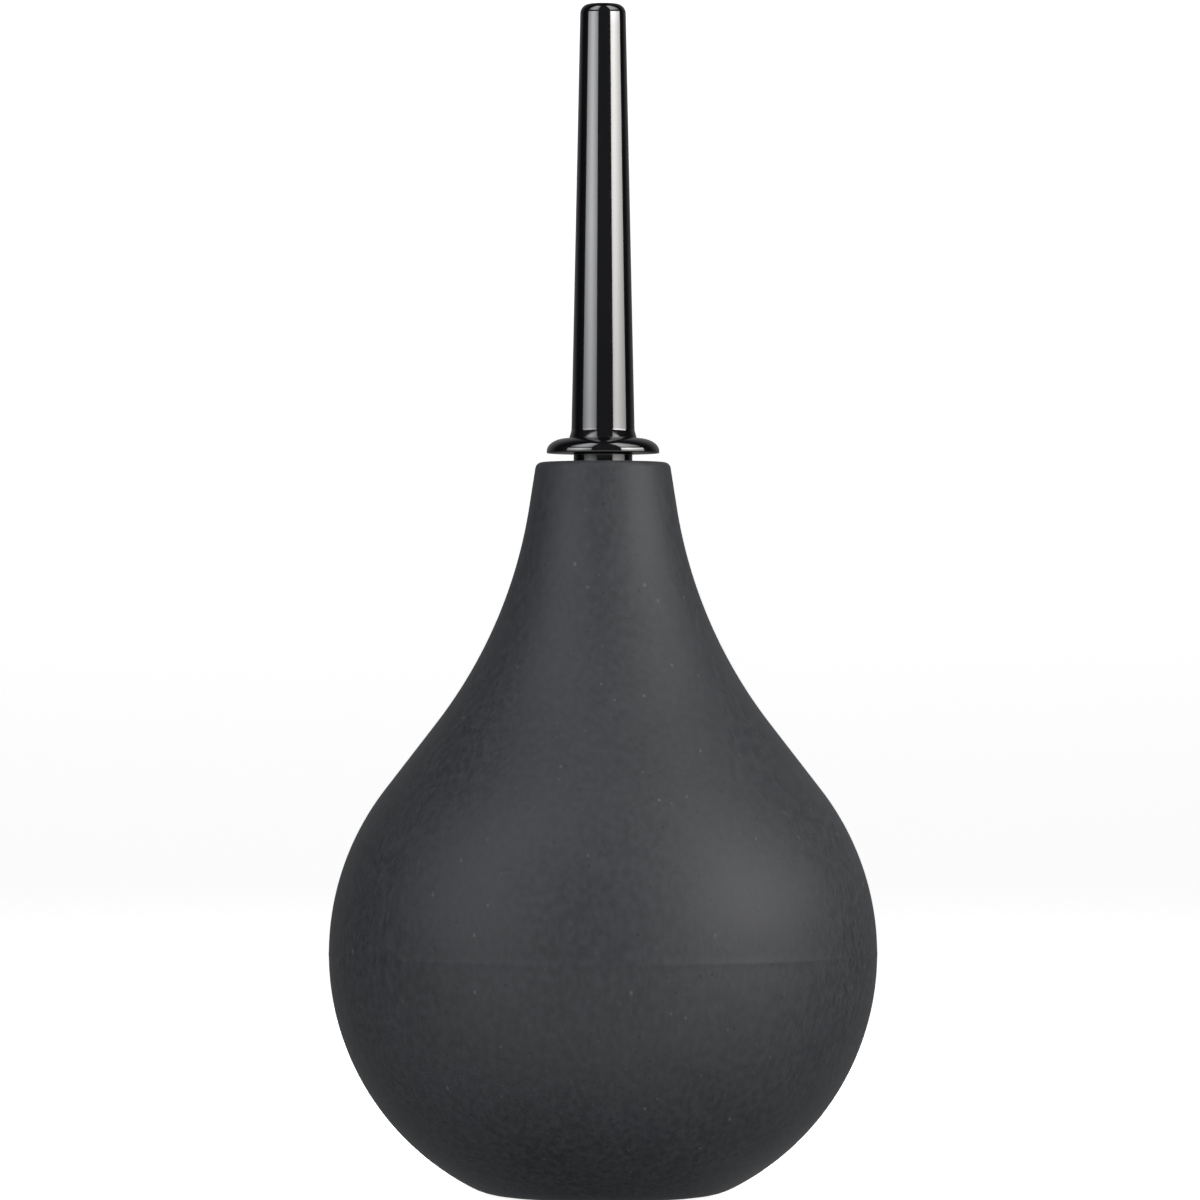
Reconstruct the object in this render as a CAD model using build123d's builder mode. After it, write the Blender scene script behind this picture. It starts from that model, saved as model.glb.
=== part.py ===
from build123d import *
import os

# Dust blower bulb: a black rubber pear that stands on its flat base and blows through a slim nozzle.
#
# Millimetres, +Z up. The origin is the middle of the base, on the surface that the bulb stands on, and
# every piece is centred on +Z. Squeezing the pear drives air out of the nozzle. When it springs back, a
# floating disc in the base lifts and lets clean air in through a felt filter.
#
# From the top down:
#     nozzle              tapered tube with a domed flange and a spigot below it
#     nozzle_o_ring       seal in a groove of the spigot
#     neck_bush           ribbed sleeve moulded into the neck, which the spigot plugs into
#     bulb                the rubber pear, open at its neck and through its base
#     intake_valve_cage   ring with three spokes that keeps the disc in
#     intake_valve_disc   floating disc that rests on its seat
#     intake_valve_body   flanged plug that grips the base, with the seat inside
#     dust_filter         felt pad under the seat
#     filter_grille       perforated cap that snaps in under the felt

# ---- bulb, outside: arcs and lines tangent to each other, from the widest circle up and down
bulb_radius = 40.0
bulb_height = 106.8
equator_height = 35.1
upper_belly_radius = 39.1
lower_belly_radius = 38.2
flank_angle = 37.7  # degrees from vertical, the steepest lean of the shoulder
flank_length = 12.2
neck_hollow_radius = 69.0
neck_lean = 8.9  # degrees from vertical, where the neck runs up to the mouth
base_edge_fillet = 10.0
mouth_edge_fillet = 1.0
flash_height = 0.12  # parting line that the mould leaves round the widest circle
flash_width = 0.9

# ---- bulb, inside
wall = 3.0
base_thickness = 5.0
chamber_top = 84.0
chamber_fillet = 4.0
neck_passage_radius = 5.0
mouth_radius = 4.5
mouth_lip = 1.0  # rubber above the bush, which keeps it in

# ---- neck bush
bush_radius = 6.3
bush_length = 17.8
bush_bore_radius = 4.36
bush_stop_radius = 3.0
bush_stop_height = 3.0
bush_lead_in = 0.5
bush_rib_height = 0.6
bush_rib_width = 1.2
bush_rib_count = 3
bond_gap = 0.03  # line between the moulded rubber and the rigid piece that it grips

# ---- nozzle
nozzle_top = 173.8
tip_radius = 3.31
tip_fillet = 1.4
stem_foot_radius = 4.62
stem_flare_radius = 4.95
stem_flare_height = 1.13
stem_flare_blend = 1.5
stem_root_fillet = 0.2
flange_radius = 8.23
flange_underside = 108.1
flange_rim_height = 0.35
flange_top = 110.32
flange_dome_root = 5.15  # radius where the dome of the flange has turned level
spigot_radius = 4.3
spigot_chamfer = 0.5
outlet_radius = 1.2
outlet_length = 10.0
passage_foot_radius = 2.2
shoulder_gap = 0.02  # between the end of the spigot and the stop in the bush

# ---- O-ring, as it lies squeezed between its groove and the bush
ring_height = 102.0
ring_width = 1.6
ring_corner = 0.45
ring_gap = 0.02
groove_width = 1.9
groove_radius = 3.2

# ---- intake valve body: a plug in the base, gripped between its flange and its barb
recess_radius = 12.2
recess_depth = 2.0
base_hole_radius = 8.6
plug_flange_radius = 12.0
plug_flange_fillet = 0.4
plug_bottom = 0.5
plug_barb_radius = 9.7
plug_barb_rim = 0.4
plug_barb_length = 2.4
plug_top_radius = 8.3
plug_top = 10.0
plug_gap = 0.05

filter_pocket_radius = 6.5
seat_bottom = 3.6
seat_top = 4.8
seat_hole_radius = 4.2
seat_lip_width = 0.6
seat_lip_height = 0.3
valve_chamber_radius = 7.5
guide_rib_count = 4
guide_rib_width = 1.2
guide_radius = 5.95

# ---- what the intake valve body holds
fit_gap = 0.03
snap_height = 0.2
snap_width = 0.6
bead_root = 0.05  # how deep the foot of a bead lies in its wall
grille_bottom = 0.8
grille_thickness = 1.1
grille_hole_radius = 0.75
grille_hole_rings = ((2.3, 6), (4.6, 12))  # radius of each ring, holes in it
disc_radius = 5.7
disc_thickness = 1.0
disc_edge_fillet = 0.25
cage_bottom = 7.8
cage_thickness = 1.4
cage_rim_width = 0.8
cage_hub_radius = 1.7
cage_spoke_width = 1.3
cage_spoke_count = 3

bush_top = bulb_height - mouth_lip
bush_bottom = bush_top - bush_length
bush_rib_pitch = bush_length / (bush_rib_count + 1)
bush_rib_heights = [bush_bottom + bush_rib_pitch * (i + 1) for i in range(bush_rib_count)]
spigot_bottom = bush_bottom + bush_stop_height + shoulder_gap
grille_top = grille_bottom + grille_thickness
grille_middle = grille_bottom + grille_thickness / 2
seat_lip_top = seat_top + seat_lip_height
cage_middle = cage_bottom + cage_thickness / 2


def pear_face(inset, bottom, top, bottom_fillet, top_fillet):
    """Half of the pear's section, `inset` inside its outer skin and cut level at `bottom` and `top`."""
    with BuildSketch() as face:
        with BuildLine():
            equator = (bulb_radius - inset, equator_height)
            upper = JernArc(equator, (0, 1), upper_belly_radius - inset, flank_angle)
            flank = Line(upper @ 1, upper @ 1 + (upper % 1) * flank_length)
            hollow = JernArc(flank @ 1, flank % 1, neck_hollow_radius + inset, neck_lean - flank_angle)
            neck = Line(hollow @ 1, hollow @ 1 + (hollow % 1) * (bulb_height - chamber_top))
            lower = JernArc(equator, (0, -1), lower_belly_radius - inset, -90)
            Polyline(neck @ 1, (0, (neck @ 1).Y), (0, (lower @ 1).Y), lower @ 1)
        make_face()
        with Locations((0, bottom)):
            Rectangle(bulb_radius, top - bottom, align=(Align.MIN, Align.MIN), mode=Mode.INTERSECT)
        fillet(face.vertices().group_by(Axis.Y)[0].sort_by(Axis.X)[-1], bottom_fillet)
        fillet(face.vertices().group_by(Axis.Y)[-1].sort_by(Axis.X)[-1], top_fillet)
    return face.sketch


def bead_face(radius, height, proud, width):
    """Section of a rounded bead that stands `proud` of a wall at `radius`."""
    foot = radius - bead_root
    with BuildSketch() as face:
        with BuildLine():
            low = (foot, height - width / 2)
            high = (foot, height + width / 2)
            ThreePointArc(low, (radius + proud, height), high)
            Line(high, low)
        make_face()
    return face.sketch


def ring_face(inner, outer, bottom, top):
    """Half of the section of a plain ring, or of a disc where `inner` is 0."""
    with BuildSketch() as face:
        with Locations((inner, bottom)):
            Rectangle(outer - inner, top - bottom, align=(Align.MIN, Align.MIN))
    return face.sketch


def outline_face(*points):
    """Half of the section whose corners, as (radius, height), are `points`."""
    with BuildSketch() as face:
        with BuildLine():
            Polyline(*points, close=True)
        make_face()
    return face.sketch


def turn(face, mode=Mode.ADD):
    """Spin a face drawn as (radius, height) about +Z, in the part that is being built."""
    with BuildSketch(Plane.XZ) as section:
        add(face)
    revolve(section.sketch, axis=Axis.Z, mode=mode)


def circle_edge(part, radius, height):
    """The circular edge of `part` about +Z that is nearest to `radius` and `height`."""
    circles = part.edges().filter_by(GeomType.CIRCLE)
    return circles.sort_by(lambda edge: abs(edge.radius - radius) + abs(edge.center().Z - height))[0]


def section_corner(section, radius, height):
    """The corner of a sketched section that is nearest to `radius` and `height`."""
    return section.vertices().sort_by_distance((radius, height))[0]


def ribbed_sleeve(gap):
    """The bush without its bore, and `gap` larger all round."""
    turn(ring_face(0, bush_radius + gap, bush_bottom - gap, bush_top + gap))
    half_width = bush_rib_width / 2 + gap
    for height in bush_rib_heights:
        turn(ring_face(0, bush_radius + bush_rib_height + gap, height - half_width, height + half_width))


# ---- bulb: the pear, less the air chamber and the pocket that the bush is moulded into ---------------
with BuildPart() as bush_pocket:
    ribbed_sleeve(bond_gap)

with BuildPart() as bulb:
    with BuildSketch(Plane.XZ):
        add(pear_face(0, 0, bulb_height, base_edge_fillet, mouth_edge_fillet))
        add(bead_face(bulb_radius, equator_height, flash_height, flash_width))
    revolve(axis=Axis.Z)
    turn(pear_face(wall, base_thickness, chamber_top, chamber_fillet, chamber_fillet), Mode.SUBTRACT)
    add(bush_pocket.part, mode=Mode.SUBTRACT)
    turn(ring_face(0, neck_passage_radius, chamber_top - chamber_fillet, bush_bottom), Mode.SUBTRACT)
    turn(ring_face(0, mouth_radius, bush_top, bulb_height), Mode.SUBTRACT)
    turn(ring_face(0, recess_radius, 0, recess_depth), Mode.SUBTRACT)
    turn(ring_face(0, base_hole_radius, 0, base_thickness), Mode.SUBTRACT)
bulb.part.label = "bulb"

# ---- neck bush: the ribs key it into the rubber, the step inside stops the spigot --------------------
with BuildPart() as neck_bush:
    ribbed_sleeve(0)
    turn(ring_face(0, bush_stop_radius, bush_bottom, bush_top), Mode.SUBTRACT)
    turn(ring_face(0, bush_bore_radius, bush_bottom + bush_stop_height, bush_top), Mode.SUBTRACT)
    chamfer(circle_edge(neck_bush, bush_bore_radius, bush_top), bush_lead_in)
neck_bush.part.label = "neck_bush"

# ---- nozzle: stem, domed flange and spigot in one piece ----------------------------------------------
with BuildPart() as nozzle:
    with BuildSketch(Plane.XZ) as nozzle_section:
        with BuildLine():
            rim_top = flange_underside + flange_rim_height
            stem_foot = (stem_foot_radius, flange_top + stem_flare_height)
            dome = EllipticalCenterArc(
                (flange_dome_root, rim_top),
                flange_radius - flange_dome_root,
                flange_top - rim_top,
                start_angle=0,
                arc_size=90,
            )
            Polyline(
                dome @ 1,
                (stem_flare_radius, flange_top),
                stem_foot,
                (tip_radius, nozzle_top),
                (0, nozzle_top),
                (0, spigot_bottom),
                (spigot_radius, spigot_bottom),
                (spigot_radius, flange_underside),
                (flange_radius, flange_underside),
                dome @ 0,
            )
        make_face()
        fillet(section_corner(nozzle_section, tip_radius, nozzle_top), tip_fillet)
        fillet(section_corner(nozzle_section, *stem_foot), stem_flare_blend)
        fillet(section_corner(nozzle_section, stem_flare_radius, flange_top), stem_root_fillet)
        chamfer(section_corner(nozzle_section, spigot_radius, spigot_bottom), spigot_chamfer)
    revolve(axis=Axis.Z)
    groove_bottom = ring_height - groove_width / 2
    groove_top = ring_height + groove_width / 2
    turn(ring_face(groove_radius, flange_radius, groove_bottom, groove_top), Mode.SUBTRACT)
    # the passage narrows to a straight outlet at the tip
    passage = outline_face(
        (0, spigot_bottom),
        (passage_foot_radius, spigot_bottom),
        (outlet_radius, nozzle_top - outlet_length),
        (outlet_radius, nozzle_top),
        (0, nozzle_top),
    )
    turn(passage, Mode.SUBTRACT)
nozzle.part.label = "nozzle"

# ---- O-ring ------------------------------------------------------------------------------------------
with BuildPart() as nozzle_o_ring:
    ring_inner = groove_radius + ring_gap
    ring_outer = bush_bore_radius - ring_gap
    turn(ring_face(ring_inner, ring_outer, ring_height - ring_width / 2, ring_height + ring_width / 2))
    fillet(nozzle_o_ring.edges().filter_by(GeomType.CIRCLE), ring_corner)
nozzle_o_ring.part.label = "nozzle_o_ring"

# ---- intake valve body: filter pocket below, seat hole in the middle, valve chamber above ------------
with BuildPart() as intake_valve_body:
    barb_bottom = base_thickness + plug_gap
    plug = outline_face(
        (0, plug_bottom),
        (plug_flange_radius, plug_bottom),
        (plug_flange_radius, recess_depth - plug_gap),
        (base_hole_radius - plug_gap, recess_depth - plug_gap),
        (base_hole_radius - plug_gap, barb_bottom),
        (plug_barb_radius, barb_bottom),
        (plug_barb_radius, barb_bottom + plug_barb_rim),
        (plug_top_radius, barb_bottom + plug_barb_length),
        (plug_top_radius, plug_top),
        (0, plug_top),
    )
    turn(plug)
    fillet(circle_edge(intake_valve_body, plug_flange_radius, plug_bottom), plug_flange_fillet)
    turn(ring_face(0, filter_pocket_radius, plug_bottom, seat_bottom), Mode.SUBTRACT)
    turn(ring_face(0, seat_hole_radius, seat_bottom, seat_top), Mode.SUBTRACT)
    turn(ring_face(0, valve_chamber_radius, seat_top, plug_top), Mode.SUBTRACT)
    turn(ring_face(seat_hole_radius, seat_hole_radius + seat_lip_width, seat_top, seat_lip_top))
    # ribs that keep the disc in the middle and carry the cage
    with BuildSketch(Plane.XY.offset(seat_top)):
        with PolarLocations(guide_radius, guide_rib_count):
            rib_depth = valve_chamber_radius - guide_radius + snap_height
            Rectangle(rib_depth, guide_rib_width, align=(Align.MIN, Align.CENTER))
    extrude(amount=cage_bottom - fit_gap - seat_top)
    # grooves that the cage and the grille snap into
    turn(bead_face(valve_chamber_radius, cage_middle, snap_height, snap_width), Mode.SUBTRACT)
    turn(bead_face(filter_pocket_radius, grille_middle, snap_height, snap_width), Mode.SUBTRACT)
intake_valve_body.part.label = "intake_valve_body"

# ---- disc, cage, felt and grille ---------------------------------------------------------------------
with BuildPart() as intake_valve_disc:
    disc_bottom = seat_lip_top + fit_gap
    turn(ring_face(0, disc_radius, disc_bottom, disc_bottom + disc_thickness))
    fillet(intake_valve_disc.edges().filter_by(GeomType.CIRCLE), disc_edge_fillet)
intake_valve_disc.part.label = "intake_valve_disc"

with BuildPart() as intake_valve_cage:
    cage_radius = valve_chamber_radius - fit_gap
    with BuildSketch(Plane.XY.offset(cage_bottom)):
        Circle(cage_radius)
        Circle(cage_radius - cage_rim_width, mode=Mode.SUBTRACT)
        Circle(cage_hub_radius)
        with PolarLocations(0, cage_spoke_count, start_angle=90):
            spoke_length = cage_radius - cage_rim_width / 2
            Rectangle(spoke_length, cage_spoke_width, align=(Align.MIN, Align.CENTER))
    extrude(amount=cage_thickness)
    turn(bead_face(cage_radius, cage_middle, snap_height - fit_gap, snap_width - fit_gap))
intake_valve_cage.part.label = "intake_valve_cage"

with BuildPart() as dust_filter:
    turn(ring_face(0, filter_pocket_radius - fit_gap, grille_top + fit_gap, seat_bottom - fit_gap))
dust_filter.part.label = "dust_filter"

with BuildPart() as filter_grille:
    grille_radius = filter_pocket_radius - fit_gap
    with BuildSketch(Plane.XY.offset(grille_bottom)):
        Circle(grille_radius)
        Circle(grille_hole_radius, mode=Mode.SUBTRACT)
        for ring_radius, hole_count in grille_hole_rings:
            with PolarLocations(ring_radius, hole_count):
                Circle(grille_hole_radius, mode=Mode.SUBTRACT)
    extrude(amount=grille_thickness)
    turn(bead_face(grille_radius, grille_middle, snap_height - fit_gap, snap_width - fit_gap))
filter_grille.part.label = "filter_grille"

# ---- one STEP file for each piece --------------------------------------------------------------------
os.makedirs("parts", exist_ok=True)
export_step(bulb.part, "parts/bulb.step")
export_step(neck_bush.part, "parts/neck_bush.step")
export_step(nozzle.part, "parts/nozzle.step")
export_step(nozzle_o_ring.part, "parts/nozzle_o_ring.step")
export_step(intake_valve_body.part, "parts/intake_valve_body.step")
export_step(intake_valve_disc.part, "parts/intake_valve_disc.step")
export_step(intake_valve_cage.part, "parts/intake_valve_cage.step")
export_step(dust_filter.part, "parts/dust_filter.step")
export_step(filter_grille.part, "parts/filter_grille.step")
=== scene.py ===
# %% [markdown]
# # Dust blower bulb
# A pear of matte black rubber stands on its flat base, and a slim glossy nozzle is plugged into its neck.
# Squeezing the pear blows dust off small work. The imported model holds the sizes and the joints. This file
# adds what the eye sees: smooth turned surfaces, finishes, soft boxes and a camera.

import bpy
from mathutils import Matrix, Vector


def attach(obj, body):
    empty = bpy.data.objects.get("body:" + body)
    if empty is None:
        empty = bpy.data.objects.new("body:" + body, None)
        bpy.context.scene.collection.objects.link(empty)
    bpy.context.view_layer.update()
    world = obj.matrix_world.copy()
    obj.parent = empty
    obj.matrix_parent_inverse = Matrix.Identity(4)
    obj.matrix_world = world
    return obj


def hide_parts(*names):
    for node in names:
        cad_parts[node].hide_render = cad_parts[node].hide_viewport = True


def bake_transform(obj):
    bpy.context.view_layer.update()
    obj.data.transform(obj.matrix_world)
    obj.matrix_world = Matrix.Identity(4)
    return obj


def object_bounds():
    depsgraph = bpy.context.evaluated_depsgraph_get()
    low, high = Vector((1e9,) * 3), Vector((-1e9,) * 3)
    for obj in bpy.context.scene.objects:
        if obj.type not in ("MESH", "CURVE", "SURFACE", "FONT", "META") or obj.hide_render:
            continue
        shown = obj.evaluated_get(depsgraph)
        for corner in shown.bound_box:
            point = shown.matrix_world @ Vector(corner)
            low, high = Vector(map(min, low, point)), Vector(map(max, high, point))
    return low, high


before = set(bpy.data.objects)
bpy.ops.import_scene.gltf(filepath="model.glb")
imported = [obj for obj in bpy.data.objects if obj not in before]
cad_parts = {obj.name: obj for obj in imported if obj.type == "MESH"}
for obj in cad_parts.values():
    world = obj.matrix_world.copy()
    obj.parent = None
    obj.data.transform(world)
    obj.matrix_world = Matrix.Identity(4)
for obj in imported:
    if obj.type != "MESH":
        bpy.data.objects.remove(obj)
cad_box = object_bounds()
print("whole part, m:", [round(v, 4) for corner in cad_box for v in corner])

# %% Tools and units
import math

import bmesh
import bpy
from mathutils import Vector
from mathutils import noise as mathutils_noise

MM = 0.001
part_height = cad_box[1].z - cad_box[0].z
scene = bpy.context.scene

# %% [markdown]
# ## Camera
# The view is from a metre away, a little below the middle of the part, through a long lens, so that the
# outline hardly tapers. A slight tilt up to the middle of the part keeps the whole of it in a square frame
# without any lens shift.

# %% Place the camera
camera_distance = 1.0
camera_height = 0.44 * part_height
aim_height = 0.4987 * part_height
aim_side = -0.44 * MM
field_height = 1.0083 * part_height


def look_at(thing, spot, target):
    """Puts `thing` at `spot` with its -Z axis on `target` and its Y axis up."""
    thing.location = spot
    thing.rotation_mode = "QUATERNION"
    thing.rotation_quaternion = (Vector(target) - Vector(spot)).to_track_quat("-Z", "Y")


camera_lens = bpy.data.cameras.new("camera")
camera_lens.sensor_width = 36.0
camera_lens.lens = camera_lens.sensor_width * camera_distance / field_height
camera_lens.clip_end = 50.0
camera = bpy.data.objects.new("camera", camera_lens)
scene.collection.objects.link(camera)
scene.camera = camera
look_at(camera, (aim_side, -camera_distance, camera_height), (aim_side, 0, aim_height))
print("lens, mm:", round(camera_lens.lens, 1))

# %% [markdown]
# ## Node trees
# Every finish and every spun shape is a node tree. One helper adds a node, sets it up and wires it, and
# another sets or wires a single input. A node may stand for its first output, which keeps the sums short.
# Colours are picked as sRGB hex values, the way a paint program shows them, and turned to linear light.

# %% Colours


def linear(colour):
    """An sRGB hex colour such as "#2b2c2e" as linear red, green, blue and alpha."""
    parts = [int(colour[i : i + 2], 16) / 255 for i in (1, 3, 5)]
    return [p / 12.92 if p <= 0.04045 else ((p + 0.055) / 1.055) ** 2.4 for p in parts] + [1.0]


# %% Adding nodes


def feed(socket, value):
    """Gives an input its value, or a link from an output. A node stands for its first output."""
    if isinstance(value, bpy.types.Node):
        value = value.outputs[0]
    if isinstance(value, bpy.types.NodeSocket):
        socket.id_data.links.new(value, socket)
    else:
        socket.default_value = value


def add_node(tree, kind, inputs=(), **settings):
    """Adds a node. `inputs` feeds its sockets: a list in their order, or a map by name or number."""
    node = tree.nodes.new(kind)
    for name, value in settings.items():
        setattr(node, name, value)
    if not isinstance(inputs, dict):
        inputs = dict(enumerate(inputs))
    for socket, value in inputs.items():
        feed(node.inputs[socket], value)
    return node


# %% Starting a material


def new_material(name, **values):
    """A material for the part: its tree, its shader and the place on the piece that patterns read."""
    material = bpy.data.materials.new(name)
    material.use_nodes = True
    tree = material.node_tree
    tree.nodes.clear()
    sockets = {socket.replace("_", " "): value for socket, value in values.items()}
    shader = add_node(tree, "ShaderNodeBsdfPrincipled", sockets)
    add_node(tree, "ShaderNodeOutputMaterial", (shader,))
    place = add_node(tree, "ShaderNodeTexCoord").outputs["Object"]
    return material, tree, shader, place


# %% [markdown]
# ## Stage
# A white sweep, floor and wall in one, with a low and a high soft box on each side of the camera. The low
# one on the right is the strongest. A tube as glossy as the nozzle shows them as upright bright stripes,
# and the rubber turns the same light into broad soft bands. The high ones lean in over the part and light
# the domed flange from above. All four are bowed panels, at one distance from the part.

# %% The sweep
sweep_width = 9.0
sweep_front = -3.0
sweep_back = 2.6
sweep_bend = 1.2
sweep_height = 5.0
sweep_drop = 0.05 * MM  # keeps the floor just clear of the base
bend_steps = 16

sweep_path = [(sweep_front, 0.0)]
for i in range(bend_steps + 1):
    turn = math.pi / 2 * i / bend_steps
    forward = sweep_back - sweep_bend + sweep_bend * math.sin(turn)
    sweep_path.append((forward, sweep_bend * (1 - math.cos(turn))))
sweep_path.append((sweep_back, sweep_height))
sweep_mesh = bpy.data.meshes.new("sweep")
sweep_mesh.from_pydata(
    [(side * sweep_width / 2, y, z - sweep_drop) for y, z in sweep_path for side in (-1, 1)],
    [],
    [(2 * i, 2 * i + 1, 2 * i + 3, 2 * i + 2) for i in range(len(sweep_path) - 1)],
)
sweep_mesh.shade_smooth()
sweep = bpy.data.objects.new("sweep", sweep_mesh)
scene.collection.objects.link(sweep)

paper = new_material(
    "white_paper",
    Base_Color=linear("#f6f6f6"),
    Roughness=0.9,
    Emission_Color=linear("#ffffff"),
    Emission_Strength=0.85,
)[0]
sweep_mesh.materials.append(paper)
sweep.visible_glossy = False
sweep.visible_diffuse = False
sweep.visible_shadow = False
print("sweep, m:", sweep_width, "wide,", sweep_back - sweep_front, "deep,", sweep_height, "high")

# %% Light of a soft box
edge_glow = 0.35
even_angle = 4  # degrees to each side of the brightest line


def box_material(name, strength, colour, heights, bright_side, fade_angle):
    """A diffuser. Its light grows between two heights in mm and fades sideways from `bright_side`."""
    material = bpy.data.materials.new(name)
    material.use_nodes = True
    tree = material.node_tree
    tree.nodes.clear()
    place = add_node(tree, "ShaderNodeTexCoord").outputs["Object"]
    axes = add_node(tree, "ShaderNodeSeparateXYZ", (place,)).outputs
    forward = add_node(tree, "ShaderNodeMath", (axes["Y"], -1.0), operation="MULTIPLY")
    azimuth = add_node(tree, "ShaderNodeMath", (axes["X"], forward), operation="ARCTAN2")
    offset = add_node(tree, "ShaderNodeMath", (azimuth, math.radians(bright_side)), operation="SUBTRACT")
    off_centre = add_node(tree, "ShaderNodeMath", (offset,), operation="ABSOLUTE")
    fade = (off_centre, math.radians(even_angle), math.radians(fade_angle), 1.0, edge_glow)
    across = add_node(tree, "ShaderNodeMapRange", fade)
    rise = (axes["Z"], heights[0] * MM, heights[1] * MM, 0.0, strength)
    upward = add_node(tree, "ShaderNodeMapRange", rise)
    glow = add_node(tree, "ShaderNodeMath", (upward, across), operation="MULTIPLY")
    emission = add_node(tree, "ShaderNodeEmission", (linear(colour), glow))
    add_node(tree, "ShaderNodeOutputMaterial", (emission,))
    return material


# %% Shape of a soft box
box_distance = 600 * MM
panel_steps = 8


def soft_box(name, sides, ends, material):
    """A bowed panel between two azimuths from the camera and two elevations from the floor, in degrees."""
    vertices = []
    for j in range(panel_steps + 1):
        rise = math.radians(ends[0] + (ends[1] - ends[0]) * j / panel_steps)
        for i in range(panel_steps + 1):
            side = math.radians(sides[0] + (sides[1] - sides[0]) * i / panel_steps)
            level = math.cos(rise)
            toward = Vector((math.sin(side) * level, -math.cos(side) * level, math.sin(rise)))
            vertices.append(toward * box_distance)
    row = panel_steps + 1
    faces = [
        (j * row + i, j * row + i + 1, (j + 1) * row + i + 1, (j + 1) * row + i)
        for j in range(panel_steps)
        for i in range(panel_steps)
    ]
    mesh = bpy.data.meshes.new(name)
    mesh.from_pydata(vertices, [], faces)
    mesh.materials.append(material)
    panel = bpy.data.objects.new(name, mesh)
    scene.collection.objects.link(panel)
    panel.visible_camera = False
    print(name, "light, azimuths:", sides, "elevations:", ends)


# %% The four soft boxes
left_strength = 8.5
right_strength = 23.0
top_strength = 6.0
left_sides = (-79, -24)
right_sides = (38, 93)
low_ends = (3, 31)
high_ends = (42, 78)
left_glow = {"colour": "#fbfdff", "heights": (60, 200), "bright_side": -50, "fade_angle": 32}
right_glow = {"colour": "#fffdfb", "heights": (40, 310), "bright_side": 52, "fade_angle": 44}
soft_box("left_box", left_sides, low_ends, box_material("left_diffuser", left_strength, **left_glow))
soft_box("right_box", right_sides, low_ends, box_material("right_diffuser", right_strength, **right_glow))
left_top = box_material("left_top_diffuser", top_strength, **left_glow)
right_top = box_material("right_top_diffuser", top_strength, **right_glow)
soft_box("left_top_box", left_sides, high_ends, left_top)
soft_box("right_top_box", right_sides, high_ends, right_top)

# %% [markdown]
# ## Light from the room
# The lit floor in front of the part sends light up to it, less from right under it, where its own shadow
# lies, and less from behind. The dark room above the floor gives almost none, which keeps the gloss black
# between its stripes, and the wall behind adds a faint rim. A world with a ramp over elevation says all of
# this without one more lamp.

# %% World and colour handling
floor_glow = 2.15
floor_glow_behind = 0.22
wall_glow = 0.25
room_level = 0.05
floor_stops = ((-90, 0.0), (-60, 0.18), (-35, 1.0), (-10, 1.0), (-3, room_level))  # elevation, level
floor_fade = (-0.6, 0.2)  # how far back a ray points where the floor's light starts and ends its fall
wall_fade = (0.4, 0.8)
horizon = (-0.1, 0.1)

world = bpy.data.worlds.new("studio")
world.use_nodes = True
tree = world.node_tree
toward = add_node(tree, "ShaderNodeTexCoord").outputs["Generated"]
ray = add_node(tree, "ShaderNodeSeparateXYZ", (toward,)).outputs
height = add_node(tree, "ShaderNodeMapRange", (ray["Z"], -1.0, 1.0, 0.0, 1.0))
levels = add_node(tree, "ShaderNodeValToRGB", (height,))
ramp = levels.color_ramp
while len(ramp.elements) < len(floor_stops):
    ramp.elements.new(1.0)
for element, (elevation, level) in zip(ramp.elements, floor_stops):
    element.position = (math.sin(math.radians(elevation)) + 1) / 2
    element.color = (level, level, level, 1.0)
glow = add_node(tree, "ShaderNodeMapRange", (ray["Y"], *floor_fade, floor_glow, floor_glow_behind))
behind = add_node(tree, "ShaderNodeMapRange", (ray["Y"], *wall_fade, 0.0, wall_glow))
above = add_node(tree, "ShaderNodeMapRange", (ray["Z"], *horizon, 0.0, 1.0))
floor = add_node(tree, "ShaderNodeMath", (levels, glow), operation="MULTIPLY")
wall_light = add_node(tree, "ShaderNodeMath", (behind, above), operation="MULTIPLY")
light = add_node(tree, "ShaderNodeMath", (floor, wall_light), operation="ADD")
background = next(node for node in tree.nodes if node.type == "BACKGROUND")
feed(background.inputs["Color"], linear("#ffffff"))
feed(background.inputs["Strength"], light)
scene.world = world
scene.view_settings.view_transform = "Standard"
scene.view_settings.look = "None"
print("world nodes:", len(tree.nodes))

# %% [markdown]
# ## Outlines
# Both main pieces are turned shapes, so each starts as half of its section: a closed outline of radius and
# height. Arcs give the belly and the hollow of the neck. Corners are rounded by a small function, because
# no moulded edge is quite sharp, and long runs get extra points.

# %% Helpers for outlines


def arc(centre, radius, start, end, spacing=1.0):
    """Points along an arc, with its ends as angles in degrees. `spacing` is in the outline's units."""
    count = max(2, math.ceil(abs(math.radians(end - start)) * radius / spacing))
    angles = [math.radians(start + (end - start) * i / count) for i in range(count + 1)]
    return [(centre[0] + radius * math.cos(a), centre[1] + radius * math.sin(a)) for a in angles]


def rounded(corners, steps=5):
    """A closed outline from corners of (radius, height) or (radius, height, fillet)."""
    outline = []
    for i, corner in enumerate(corners):
        point = Vector(corner[:2])
        if len(corner) == 2:
            outline.append(point)
            continue
        before = (Vector(corners[i - 1][:2]) - point).normalized()
        after = (Vector(corners[(i + 1) % len(corners)][:2]) - point).normalized()
        half = before.angle(after) / 2
        centre = point + (before + after).normalized() * corner[2] / math.sin(half)
        start = (point + before * corner[2] / math.tan(half) - centre).normalized()
        end = (point + after * corner[2] / math.tan(half) - centre).normalized()
        for step in range(steps + 1):
            outline.append(centre + start.slerp(end, step / steps) * corner[2])
    return outline


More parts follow.
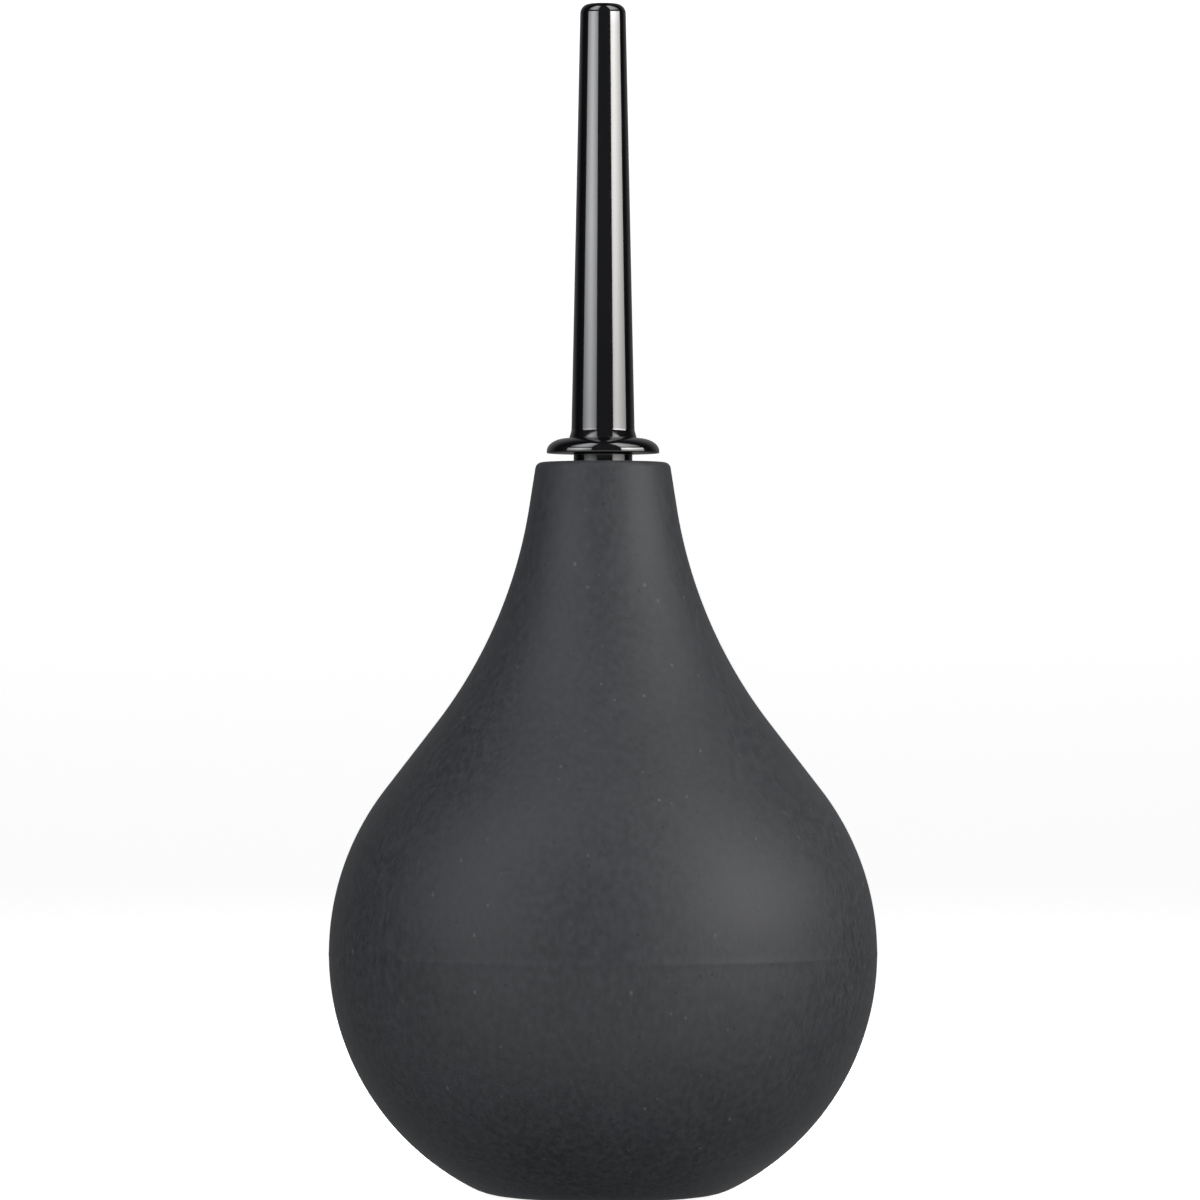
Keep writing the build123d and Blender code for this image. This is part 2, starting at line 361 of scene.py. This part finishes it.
def spaced(outline, longest, closed=True):
    """The outline with points added on runs that are longer than `longest`."""
    result = []
    ends = outline[1:] + outline[:1] if closed else outline[1:]
    for start, end in zip(map(Vector, outline), map(Vector, ends)):
        pieces = max(1, math.ceil((end - start).length / longest))
        result += [start.lerp(end, step / pieces) for step in range(pieces)]
    return result if closed else result + [Vector(outline[-1])]


# %% [markdown]
# ## Shapes made by Geometry Nodes
# Two pieces of work repeat in every such tree: naming its inputs, and ending it, with doubles merged,
# instances made real and the material set. A third helper runs a tree and keeps the result as a mesh.

# %% Start and end of a tree
weld_distance = 0.001 * MM


def new_tree(name, inputs):
    """A tree with named inputs. Gives the tree, the inputs' identifiers and the sockets they feed."""
    tree = bpy.data.node_groups.new(name, "GeometryNodeTree")
    sockets = {}
    for title, kind in inputs.items():
        socket = tree.interface.new_socket(title, in_out="INPUT", socket_type="NodeSocket" + kind)
        sockets[title] = socket.identifier
    tree.interface.new_socket("Geometry", in_out="OUTPUT", socket_type="NodeSocketGeometry")
    return tree, sockets, add_node(tree, "NodeGroupInput").outputs


def end_tree(tree, mesh, material):
    """Merges doubles, makes instances real and sets the material."""
    merged = add_node(tree, "GeometryNodeMergeByDistance", {"Geometry": mesh, "Distance": weld_distance})
    real = add_node(tree, "GeometryNodeRealizeInstances", (merged,))
    painted = add_node(tree, "GeometryNodeSetMaterial", {"Geometry": real, "Material": material})
    add_node(tree, "NodeGroupOutput", (painted,))


# %% Running a tree


def run_tree(name, tree, sockets, values):
    """Runs a Geometry Nodes tree, and gives its result back as a plain mesh object at the origin."""
    blank = bpy.data.objects.new(name + "_blank", bpy.data.meshes.new(name + "_blank"))
    scene.collection.objects.link(blank)
    modifier = blank.modifiers.new(name, "NODES")
    modifier.node_group = tree
    for socket, value in values.items():
        modifier[sockets[socket]] = value
    mesh = bpy.data.meshes.new_from_object(blank.evaluated_get(bpy.context.evaluated_depsgraph_get()))
    mesh.name = name
    bpy.data.objects.remove(blank)
    piece = bpy.data.objects.new(name, mesh)
    scene.collection.objects.link(piece)
    print(name, "faces:", len(mesh.polygons), "volume, cm3:", round(volume(mesh) / MM**3 / 1000, 3))
    return piece


def volume(mesh):
    """The volume inside a closed mesh, in m3. It is negative if the faces point inwards."""
    solid = bmesh.new()
    solid.from_mesh(mesh)
    inside = solid.calc_volume(signed=True)
    open_edges = sum(not edge.is_manifold for edge in solid.edges)
    solid.free()
    if open_edges:
        print(mesh.name, "has open or stray edges:", open_edges)
    return inside


# %% [markdown]
# ## A lathe
# The tree lays a grid round the axis like a sheet round a drum: each row of the grid takes its radius and
# height from one point of the outline, and each column is turned a little further. Spinning a mesh by hand
# or with a Screw modifier would do too, but here the outline and the number of steps stay inputs.

# %% Lathe: the grid and where its points are on the sheet
lathe_inputs = {"Outline": "Object", "Points": "Int", "Rows": "Int", "Steps Around": "Int"}
lathe, lathe_sockets, group = new_tree("lathe", {**lathe_inputs, "Material": "Material"})
columns = add_node(lathe, "ShaderNodeMath", (group["Steps Around"], 1.0), operation="ADD")
lines = add_node(lathe, "ShaderNodeMath", (group["Rows"], 1.0), operation="ADD")
size = {"Size X": 1.0, "Size Y": 1.0, "Vertices X": columns, "Vertices Y": lines}
grid = add_node(lathe, "GeometryNodeMeshGrid", size)
position = add_node(lathe, "GeometryNodeInputPosition")
flat = add_node(lathe, "ShaderNodeSeparateXYZ", (position,)).outputs
across = add_node(lathe, "ShaderNodeMath", (flat["X"], 0.5), operation="ADD")
upward = add_node(lathe, "ShaderNodeMath", (flat["Y"], 0.5), operation="ADD")
print("lathe inputs:", list(lathe_sockets))

# %% Lathe: each row to its point of the outline, each column to its angle
row = add_node(lathe, "ShaderNodeMath", (upward, group["Rows"]), operation="MULTIPLY")
row = add_node(lathe, "ShaderNodeMath", (row,), operation="ROUND")
# a closed outline ends on the point where it began
row = add_node(lathe, "ShaderNodeMath", (row, group["Points"]), operation="MODULO")
angle = add_node(lathe, "ShaderNodeMath", (across, math.tau), operation="MULTIPLY")
outline = add_node(lathe, "GeometryNodeObjectInfo", {"Object": group["Outline"]}).outputs["Geometry"]
sources = {"Geometry": outline, "Value": position, "Index": row}
point = add_node(lathe, "GeometryNodeSampleIndex", sources, data_type="FLOAT_VECTOR")
turn = {"Vector": point, "Axis": (0, 0, 1), "Angle": angle}
turned = add_node(lathe, "ShaderNodeVectorRotate", turn, rotation_type="AXIS_ANGLE")
spun = add_node(lathe, "GeometryNodeSetPosition", {"Geometry": grid, "Position": turned})
smooth = add_node(lathe, "GeometryNodeSetShadeSmooth", {"Geometry": spun})
end_tree(lathe, smooth, group["Material"])
print("lathe nodes:", len(lathe.nodes))

# %% Using the lathe


def spin(name, outline, material, steps, solid=False):
    """Turns an outline in mm round +Z: a closed one, or one from axis to axis for a solid piece."""
    outline_mesh = bpy.data.meshes.new(name + "_outline")
    outline_mesh.from_pydata([(r * MM, 0, z * MM) for r, z in outline], [], [])
    outline_object = bpy.data.objects.new(name + "_outline", outline_mesh)
    scene.collection.objects.link(outline_object)
    values = {
        "Outline": outline_object,
        "Points": len(outline),
        "Rows": len(outline) - solid,
        "Steps Around": steps,
        "Material": material,
    }
    piece = run_tree(name, lathe, lathe_sockets, values)
    bpy.data.objects.remove(outline_object)
    return piece


# %% [markdown]
# ## Finish: black rubber
# Moulded natural rubber, cured against a blasted steel mould. It is very dark and matte, with a broad weak
# shine. A thin bloom of wax and talc lightens it in uneven patches, the blasted mould leaves a fine grain,
# and dust and lint cling to it as small pale specks.

# %% Helpers for finishes


def covered(tree, colour, pattern, reach, second, cover=1.0):
    """Lays a second colour over the first as the pattern rises through `reach`, at most by `cover`."""
    share = add_node(tree, "ShaderNodeMapRange", (pattern, *reach, 0.0, cover))
    mix = add_node(tree, "ShaderNodeMix", {"Factor": share, 6: colour, 7: second}, data_type="RGBA")
    return mix.outputs[2]


def dots(tree, place, spacing, least, most):
    """Scattered soft dots, 1 inside and 0 outside. Radii are parts of the spacing, `least` to `most`."""
    soft_edge = 0.09
    cells = add_node(tree, "ShaderNodeTexVoronoi", {"Vector": place, "Scale": 1 / spacing}).outputs
    chance = add_node(tree, "ShaderNodeSeparateColor", (cells["Color"],))
    radius = add_node(tree, "ShaderNodeMapRange", (chance, 0.0, 1.0, least, most))
    depth = add_node(tree, "ShaderNodeMath", (radius, cells["Distance"]), operation="SUBTRACT")
    return add_node(tree, "ShaderNodeMapRange", (depth, 0.0, soft_edge, 0.0, 1.0))


def dress(tree, shader, colour, roughness, relief, depth):
    """Wires the shader: its colour, its roughness and a relief that is `depth` deep for a height of 1."""
    bump = add_node(tree, "ShaderNodeBump", {"Height": relief, "Distance": depth})
    feed(shader.inputs["Base Color"], colour)
    feed(shader.inputs["Roughness"], roughness)
    feed(shader.inputs["Normal"], bump)
    print("nodes:", len(tree.nodes), "relief, mm:", round(depth / MM, 3))


# %% Rubber: patterns
bloom_size = 14 * MM
mottle_size = 0.9 * MM
grain_size = 0.4 * MM
speck_spacing = 2.0 * MM
pit_spacing = 1.7 * MM

rubber, tree, shader, place = new_material(
    "matte_black_rubber", IOR=1.5, Specular_IOR_Level=0.27, Sheen_Weight=0.03, Sheen_Roughness=0.4
)
tall = add_node(tree, "ShaderNodeMapping", {"Vector": place, "Scale": (1, 1, 0.7)})
bloom = add_node(tree, "ShaderNodeTexNoise", {"Vector": place, "Scale": 1 / bloom_size, "Detail": 3.0})
mottle = add_node(tree, "ShaderNodeTexNoise", {"Vector": tall, "Scale": 1 / mottle_size, "Detail": 3.0})
grain = add_node(tree, "ShaderNodeTexNoise", {"Vector": place, "Scale": 1 / grain_size, "Detail": 2.0})
specks = dots(tree, tall, speck_spacing, -0.06, 0.16)
# small pits, sunk into the relief and darkened in colour below as painted shade
painted_shade_pits = dots(tree, place, pit_spacing, -0.02, 0.20)

# %% Rubber: colour and relief
relief_depth = 0.02 * MM
mottle_relief = 0.8

colour = covered(tree, linear("#141619"), bloom, (0.3, 0.7), linear("#1a1c1f"))
colour = covered(tree, colour, mottle, (0.35, 0.75), linear("#27292c"), cover=0.7)
# painted shade: the pits are made darker in colour, as if shade lay in them
colour = covered(tree, colour, painted_shade_pits, (0.0, 1.0), linear("#0a0a0b"), cover=0.6)
colour = covered(tree, colour, specks, (0.0, 1.0), linear("#454749"), cover=0.5)
roughness = add_node(tree, "ShaderNodeMapRange", (mottle, 0.3, 0.7, 0.54, 0.64))
lumps = add_node(tree, "ShaderNodeMath", (mottle, mottle_relief), operation="MULTIPLY")
raised = add_node(tree, "ShaderNodeMath", (grain, lumps), operation="ADD")
relief = add_node(tree, "ShaderNodeMath", (raised, painted_shade_pits), operation="SUBTRACT")
dress(tree, shader, colour, roughness, relief, relief_depth)

# %% [markdown]
# ## Finish: polished black plastic
# The nozzle is injection-moulded high-impact polystyrene from a polished tool. It is almost black, with a
# sharp, slightly wavy mirror shine that faint scuffs dull here and there.

# %% Nozzle plastic
wave_size = 7 * MM
wave_depth = 0.03 * MM
scuff_size = 0.8 * MM

gloss, tree, shader, place = new_material("polished_black_styrene", IOR=1.59)
along = add_node(tree, "ShaderNodeMapping", {"Vector": place, "Scale": (1, 1, 0.25)})
waves = add_node(tree, "ShaderNodeTexNoise", {"Vector": along, "Scale": 1 / wave_size, "Detail": 1.0})
scuffs = add_node(tree, "ShaderNodeTexNoise", {"Vector": along, "Scale": 1 / scuff_size, "Detail": 4.0})
colour = covered(tree, linear("#050506"), waves, (0.3, 0.7), linear("#08080a"))
roughness = add_node(tree, "ShaderNodeMapRange", (scuffs, 0.4, 0.8, 0.06, 0.13))
dress(tree, shader, colour, roughness, waves, wave_depth)

# %% [markdown]
# ## Finish: satin black plastic
# The valve parts and the bush are moulded in polypropylene, in a tool whose walls were spark-eroded to a
# fine even texture. It gives a satin face with a soft shine, a little paler where it was handled.

# %% Satin plastic
handling_size = 5 * MM
spark_size = 0.25 * MM
spark_depth = 0.015 * MM

satin, tree, shader, place = new_material("satin_black_polypropylene", IOR=1.49)
wear = {"Vector": place, "Scale": 1 / handling_size, "Detail": 3.0}
handling = add_node(tree, "ShaderNodeTexNoise", wear)
sparks = add_node(tree, "ShaderNodeTexNoise", {"Vector": place, "Scale": 1 / spark_size, "Detail": 2.0})
colour = covered(tree, linear("#1b1c1d"), handling, (0.35, 0.7), linear("#26272a"))
roughness = add_node(tree, "ShaderNodeMapRange", (handling, 0.3, 0.7, 0.36, 0.5))
dress(tree, shader, colour, roughness, sparks, spark_depth)

# %% [markdown]
# ## Finish: nitrile rubber
# A stock O-ring. It is black and smoother than the bulb, and a trace of silicone grease leaves duller and
# shinier patches.

# %% Nitrile
grease_size = 1.5 * MM
grease_depth = 0.01 * MM

nitrile, tree, shader, place = new_material("black_nitrile", IOR=1.52)
grease = add_node(tree, "ShaderNodeTexNoise", {"Vector": place, "Scale": 1 / grease_size, "Detail": 3.0})
colour = covered(tree, linear("#121213"), grease, (0.4, 0.6), linear("#1c1c1e"))
roughness = add_node(tree, "ShaderNodeMapRange", (grease, 0.4, 0.6, 0.28, 0.55))
dress(tree, shader, colour, roughness, grease, grease_depth)

# %% [markdown]
# ## Finish: silicone rubber
# The flap of the intake valve is a soft disc, stamped from brick red sheet. Light goes a little way into
# it, and talc from the stamping clings to it in faint pale clouds.

# %% Silicone
talc_size = 1.2 * MM
talc_depth = 0.01 * MM

silicone, tree, shader, place = new_material(
    "red_silicone",
    IOR=1.41,
    Subsurface_Weight=0.4,
    Subsurface_Radius=(1.2 * MM, 1.2 * MM, 1.0 * MM),
    Subsurface_Scale=1.0,
)
talc = add_node(tree, "ShaderNodeTexNoise", {"Vector": place, "Scale": 1 / talc_size, "Detail": 4.0})
colour = covered(tree, linear("#bd5c4c"), talc, (0.35, 0.7), linear("#cb7668"))
roughness = add_node(tree, "ShaderNodeMapRange", (talc, 0.3, 0.7, 0.35, 0.6))
dress(tree, shader, colour, roughness, talc, talc_depth)

# %% [markdown]
# ## Finish: wool felt
# The filter is a punched disc of undyed felt. Felt is a mat of tangled fibres, so two stretched noises
# that cross each other stand for the fibres, and a slower one for thin and thick places. A real fibre is
# only 0.03 mm thick. The pattern is drawn several times coarser, so that it shows.

# %% Felt
fibre_size = 0.5 * MM
fibre_depth = 0.12 * MM
thin_place_size = 2 * MM
felt_roughness = 0.95

felt, tree, shader, place = new_material("grey_wool_felt", Sheen_Weight=0.25)
strands = []
for stretch in ((0.2, 1.6, 1), (1.6, 0.2, 1)):
    lying = add_node(tree, "ShaderNodeMapping", {"Vector": place, "Scale": stretch})
    strand = {"Vector": lying, "Scale": 1 / fibre_size, "Detail": 2.0}
    strands.append(add_node(tree, "ShaderNodeTexNoise", strand))
fibres = add_node(tree, "ShaderNodeMath", strands, operation="MAXIMUM")
gaps = {"Vector": place, "Scale": 1 / thin_place_size, "Detail": 2.0}
thin = add_node(tree, "ShaderNodeTexNoise", gaps)
colour = covered(tree, linear("#6f6c66"), fibres, (0.4, 0.75), linear("#b5b1a8"))
colour = covered(tree, colour, thin, (0.35, 0.65), linear("#5c5954"), cover=0.35)
dress(tree, shader, colour, felt_roughness, fibres, fibre_depth)

# %% [markdown]
# ## Bulb
# One piece of rubber about 3 mm thick, from a mould in two halves that met at the widest circle and left a
# fine raised line there. The arcs of the outline are tangent to each other, as on a turned mould.

# %% Sizes of the bulb's outside
bulb_radius = 40.0
bulb_height = 106.8
equator = 35.1
upper_belly = 39.1
lower_belly = 38.2
flank_angle = 37.7
flank_length = 12.2
hollow_radius = 69.0
neck_lean = 8.9
base_fillet = 10.0
mouth_fillet = 1.0
line_height = 0.035
line_width = 0.9
wall = 3.0
base_thickness = 5.0
chamber_top = 84.0
chamber_fillet = 4.0
longest_run = 2.0

# %% Outline of the bulb's outside


def direction(angle):
    """The unit vector at an angle in degrees."""
    return Vector((math.cos(math.radians(angle)), math.sin(math.radians(angle))))


upper_centre = Vector((bulb_radius - upper_belly, equator))
lower_centre = Vector((bulb_radius - lower_belly, equator))
flank_foot = upper_centre + direction(flank_angle) * upper_belly
flank_head = flank_foot + direction(flank_angle + 90) * flank_length
hollow_centre = flank_head + direction(flank_angle) * hollow_radius
neck_foot = hollow_centre - direction(neck_lean) * hollow_radius
mouth_edge = neck_foot.x - (bulb_height - neck_foot.y) * math.tan(math.radians(neck_lean))
fillet_rise = equator - base_fillet
fillet_reach = math.sqrt((lower_belly - base_fillet) ** 2 - fillet_rise**2)
fillet_centre = lower_centre + Vector((fillet_reach, -fillet_rise))
base_turn = -math.degrees(math.atan2(fillet_rise, fillet_reach))
line_turn = math.degrees(line_width / 2 / upper_belly)

skin = arc(fillet_centre, base_fillet, -90, base_turn)
skin += arc(lower_centre, lower_belly, base_turn, -line_turn)[1:]
for step in (-2, -1, 0, 1, 2):
    crest = line_height * math.cos(math.pi * step / 6)
    skin.append((bulb_radius + crest, equator + line_width * step / 6))
skin += arc(upper_centre, upper_belly, line_turn, flank_angle)
skin += arc(hollow_centre, hollow_radius, 180 + flank_angle, 180 + neck_lean)
print("bulb skin points:", len(skin), "mouth edge radius, mm:", round(mouth_edge, 2))

# %% [markdown]
# The inside follows the skin at the wall's thickness. Above the air chamber a short passage leads up to
# the pocket of the bush, whose ribs press their own grooves into the rubber.

# %% Bulb inside the neck
mouth_radius = 4.5
mouth_lip = 0.97
pocket_radius = 6.33
pocket_bottom = 87.97
passage_radius = 5.0
recess_radius = 12.2
recess_depth = 2.0
base_hole_radius = 8.6
moulded_edge = 0.3
bush_rib_heights = (101.35, 96.9, 92.45)
bush_rib_height = 0.6
bush_rib_width = 1.2
bond_gap = 0.03

inside = [(mouth_edge, bulb_height, mouth_fillet), (mouth_radius, bulb_height, moulded_edge)]
inside += [(mouth_radius, bulb_height - mouth_lip), (pocket_radius, bulb_height - mouth_lip)]
for rib in bush_rib_heights:
    half = bush_rib_width / 2 + bond_gap
    groove = pocket_radius + bush_rib_height
    inside += [(pocket_radius, rib + half), (groove, rib + half)]
    inside += [(groove, rib - half), (pocket_radius, rib - half)]
inside += [(pocket_radius, pocket_bottom), (passage_radius, pocket_bottom)]
inside += [(passage_radius, chamber_top, moulded_edge)]
print("corners inside the neck:", len(inside))

# %% Air chamber and base
# the chamber's ceiling and floor cut the inner arcs at these angles, and the fillets take a few degrees
ceiling_room = 2.4
floor_room = 2.0
inner_hollow = hollow_radius + wall
inner_belly = lower_belly - wall
ceiling_angle = math.degrees(math.asin((hollow_centre.y - chamber_top) / inner_hollow))
floor_angle = math.degrees(math.asin((lower_centre.y - base_thickness) / inner_belly))
ceiling_corner = hollow_centre - direction(ceiling_angle) * inner_hollow
floor_corner = lower_centre + direction(-floor_angle) * inner_belly
chamber = arc(hollow_centre, inner_hollow, 180 + ceiling_angle + ceiling_room, 180 + flank_angle)
chamber += arc(upper_centre, upper_belly - wall, flank_angle, 0)
chamber += arc(lower_centre, inner_belly, 0, floor_room - floor_angle)[1:]
base = [
    (*floor_corner, chamber_fillet),
    (base_hole_radius, base_thickness, moulded_edge),
    (base_hole_radius, recess_depth, moulded_edge),
    (recess_radius, recess_depth, moulded_edge),
    (recess_radius, 0, moulded_edge),
]
corners = [*skin[-1:], *inside, (*ceiling_corner, chamber_fillet), *chamber, *base, *skin[:1]]
bulb_outline = spaced(skin[:-1] + rounded(corners)[:-1], longest_run)
print("bulb outline points:", len(bulb_outline))

# %% Bulb
bulb_skin = spin("bulb_skin", bulb_outline, rubber, steps=160)
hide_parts("bulb")
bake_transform(bulb_skin)

# %% [markdown]
# ## Nozzle
# Stem, domed flange and spigot are one moulding, bored from end to end for the air.

# %% Sizes of the nozzle
nozzle_top = 173.8
tip_radius = 3.31
tip_fillet = 1.4
stem_foot_radius = 4.62
stem_foot = 111.45
stem_flare_blend = 1.5
stem_flare_radius = 4.95
flange_top = 110.32
stem_root_fillet = 0.06
flange_radius = 8.23
dome_root = 5.15
rim_top = 108.45
flange_underside = 108.1
flange_corner = 0.15
spigot_radius = 4.3
spigot_root = 0.25
spigot_bottom = 91.02
spigot_edge = 0.5
groove_radius = 3.2
groove_top = 102.95
groove_bottom = 101.05
outlet_radius = 1.2
outlet_foot = 163.8
outlet_edge = 0.35
passage_foot_radius = 2.2
fine_edge = 0.1
dome_step = 6  # degrees
print("nozzle, mm:", round(nozzle_top - spigot_bottom, 2))

# %% Outline of the nozzle
dome = []
for angle in range(dome_step, 91, dome_step):
    across, up = direction(angle)
    dome.append((dome_root + (flange_radius - dome_root) * across, rim_top + (flange_top - rim_top) * up))
nozzle_corners = [
    (passage_foot_radius, spigot_bottom, 2 * fine_edge),
    (spigot_radius, spigot_bottom, spigot_edge),
    (spigot_radius, groove_bottom, fine_edge),
    (groove_radius, groove_bottom, fine_edge),
    (groove_radius, groove_top, fine_edge),
    (spigot_radius, groove_top, fine_edge),
    (spigot_radius, flange_underside, spigot_root),
    (flange_radius, flange_underside, flange_corner),
    (flange_radius, rim_top),
    *dome,
    (stem_flare_radius, flange_top, stem_root_fillet),
    (stem_foot_radius, stem_foot, stem_flare_blend),
    (tip_radius, nozzle_top, tip_fillet),
    (outlet_radius, nozzle_top, outlet_edge),
    (outlet_radius, outlet_foot),
]
nozzle_outline = rounded(nozzle_corners, steps=8)
print("nozzle outline points:", len(nozzle_outline))

# %% Nozzle
nozzle_body = spin("nozzle_body", spaced(nozzle_outline, longest_run), gloss, steps=128)
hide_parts("nozzle")
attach(nozzle_body, "nozzle")

# %% [markdown]
# ## Seal and bush
# The O-ring lies in the groove of the spigot and slides with it. The bush is a hard sleeve that the rubber
# neck is moulded round, with three ribs that key it in. Both are turned on the same lathe.

# %% O-ring
ring_inner = 3.22
ring_outer = 4.34
ring_bottom = 101.2
ring_top = 102.8
ring_corner = 0.45
ring_outline = rounded(
    [
        (ring_inner, ring_bottom, ring_corner),
        (ring_outer, ring_bottom, ring_corner),
        (ring_outer, ring_top, ring_corner),
        (ring_inner, ring_top, ring_corner),
    ]
)
o_ring = spin("o_ring", ring_outline, nitrile, steps=96)
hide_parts("nozzle_o_ring")
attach(o_ring, "seal")

# %% Bush
bush_radius = 6.3
bore_radius = 4.36
stop_radius = 3.0
bush_bottom = 88.0
bush_top = 105.8
stop_top = 91.0
lead_in = 0.5
bush_corners = [(stop_radius, bush_bottom, fine_edge), (bush_radius, bush_bottom, fine_edge)]
for rib in reversed(bush_rib_heights):
    low, high = rib - bush_rib_width / 2, rib + bush_rib_width / 2
    rib_radius = bush_radius + bush_rib_height
    bush_corners += [(bush_radius, low), (rib_radius, low, fine_edge)]
    bush_corners += [(rib_radius, high, fine_edge), (bush_radius, high)]
bush_corners += [(bush_radius, bush_top, fine_edge), (bore_radius + lead_in, bush_top)]
bush_corners += [(bore_radius, bush_top - lead_in)]
bush_corners += [(bore_radius, stop_top, fine_edge), (stop_radius, stop_top, fine_edge)]
bush = spin("bush", spaced(rounded(bush_corners), 1.5 * longest_run), satin, steps=96)
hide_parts("neck_bush")
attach(bush, "neck")

# %% [markdown]
# ## Valve flap
# A loose disc of silicone that lifts off its seat to let air in and falls back to hold it.

# %% Valve flap
flap_radius = 5.7
flap_bottom = 5.13
flap_top = 6.13
flap_edge = 0.25
flap_outline = rounded(
    [
        (0, flap_bottom),
        (flap_radius, flap_bottom, flap_edge),
        (flap_radius, flap_top, flap_edge),
        (0, flap_top),
    ]
)
flap = spin("valve_flap", flap_outline, silicone, steps=96, solid=True)
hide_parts("intake_valve_disc")
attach(flap, "valve_disc")

# %% [markdown]
# ## Felt filter
# A soft pad with crushed edges. The lathe makes the plain disc, with its faces in fine rings, and then a
# noise in space presses each point in a little, because punched felt is never flat.

# %% Felt filter
felt_radius = 6.4
felt_bottom = 1.95
felt_top = 3.55
felt_edge = 0.35
felt_ring = 0.25
felt_dip = 0.09 * MM
felt_lump_size = 0.9 * MM
felt_corners = [
    (0, felt_bottom),
    (felt_radius, felt_bottom, felt_edge),
    (felt_radius, felt_top, felt_edge),
    (0, felt_top),
]
felt_outline = spaced(rounded(felt_corners), felt_ring, closed=False)
pad = spin("felt_pad", felt_outline, felt, steps=144, solid=True)
normals = [vertex.normal.copy() for vertex in pad.data.vertices]
for vertex, normal in zip(pad.data.vertices, normals):
    dip = (1 + mathutils_noise.noise(vertex.co / felt_lump_size)) / 2 * felt_dip
    vertex.co -= normal * dip
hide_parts("dust_filter")
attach(pad, "base")

# %% [markdown]
# ## Filter grille
# A round plate with two rings of holes round a middle one, clipped in below the felt. A tree suits it: the
# holes are one circle, repeated on the rings. Filling the outer circle and the holes together leaves the
# holes open, and the flat shape is then raised to the plate's thickness. Drilling with Booleans would be
# slower and leave poorer edges.

# %% Grille tree: the flat shape
rim_steps = 96
hole_steps = 20
inner_count = 6
outer_count = 12
plate_sizes = {
    "Plate Radius": 6.46 * MM,
    "Hole Radius": 0.75 * MM,
    "Inner Ring": 2.3 * MM,
    "Outer Ring": 4.6 * MM,
    "Bottom": 0.8 * MM,
    "Thickness": 1.1 * MM,
}
plate_inputs = {title: "Float" for title in plate_sizes}
plate, plate_sockets, group = new_tree("perforated_plate", {**plate_inputs, "Material": "Material"})
rings = {}
for title, steps in (
    ("Plate Radius", rim_steps),
    ("Hole Radius", hole_steps),
    ("Inner Ring", inner_count),
    ("Outer Ring", outer_count),
):
    circle = {"Resolution": steps, "Radius": group[title]}
    rings[title] = add_node(plate, "GeometryNodeCurvePrimitiveCircle", circle).outputs[0]
hole = rings["Hole Radius"]
curves = [rings["Plate Radius"], hole]
for title, count in (("Inner Ring", inner_count), ("Outer Ring", outer_count)):
    spots = add_node(plate, "GeometryNodeCurveToPoints", {"Curve": rings[title], "Count": count})
    copies = add_node(plate, "GeometryNodeInstanceOnPoints", {"Points": spots, "Instance": hole})
    curves.append(add_node(plate, "GeometryNodeRealizeInstances", (copies,)).outputs[0])
print("grille holes:", 1 + inner_count + outer_count)

# %% Grille tree: the plate
joined = add_node(plate, "GeometryNodeJoinGeometry")
for curve in curves:
    plate.links.new(curve, joined.inputs[0])
face = add_node(plate, "GeometryNodeFillCurve", (joined,))
height = add_node(plate, "ShaderNodeCombineXYZ", {"Z": group["Bottom"]})
low = add_node(plate, "GeometryNodeTransform", {"Geometry": face, "Translation": height})
up = add_node(plate, "ShaderNodeCombineXYZ", {"Z": 1.0})
rise = {"Mesh": low, "Offset": up, "Offset Scale": group["Thickness"], "Individual": False}
raised = add_node(plate, "GeometryNodeExtrudeMesh", rise)
under = add_node(plate, "GeometryNodeFlipFaces", (low,))
both = add_node(plate, "GeometryNodeJoinGeometry")
for part in (raised, under):
    plate.links.new(part.outputs[0], both.inputs[0])
end_tree(plate, both, group["Material"])
print("plate nodes:", len(plate.nodes))

# %% Grille
grille = run_tree("grille", plate, plate_sockets, {**plate_sizes, "Material": satin})
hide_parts("filter_grille")
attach(grille, "base")

# %% [markdown]
# ## Valve body and cage
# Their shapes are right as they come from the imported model, so they stay and only get their finish.

# %% Paint the valve body and the cage
for node in ("intake_valve_body", "intake_valve_cage"):
    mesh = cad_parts[node].data
    mesh.materials.clear()
    mesh.materials.append(satin)
    print(node, "faces:", len(mesh.polygons))
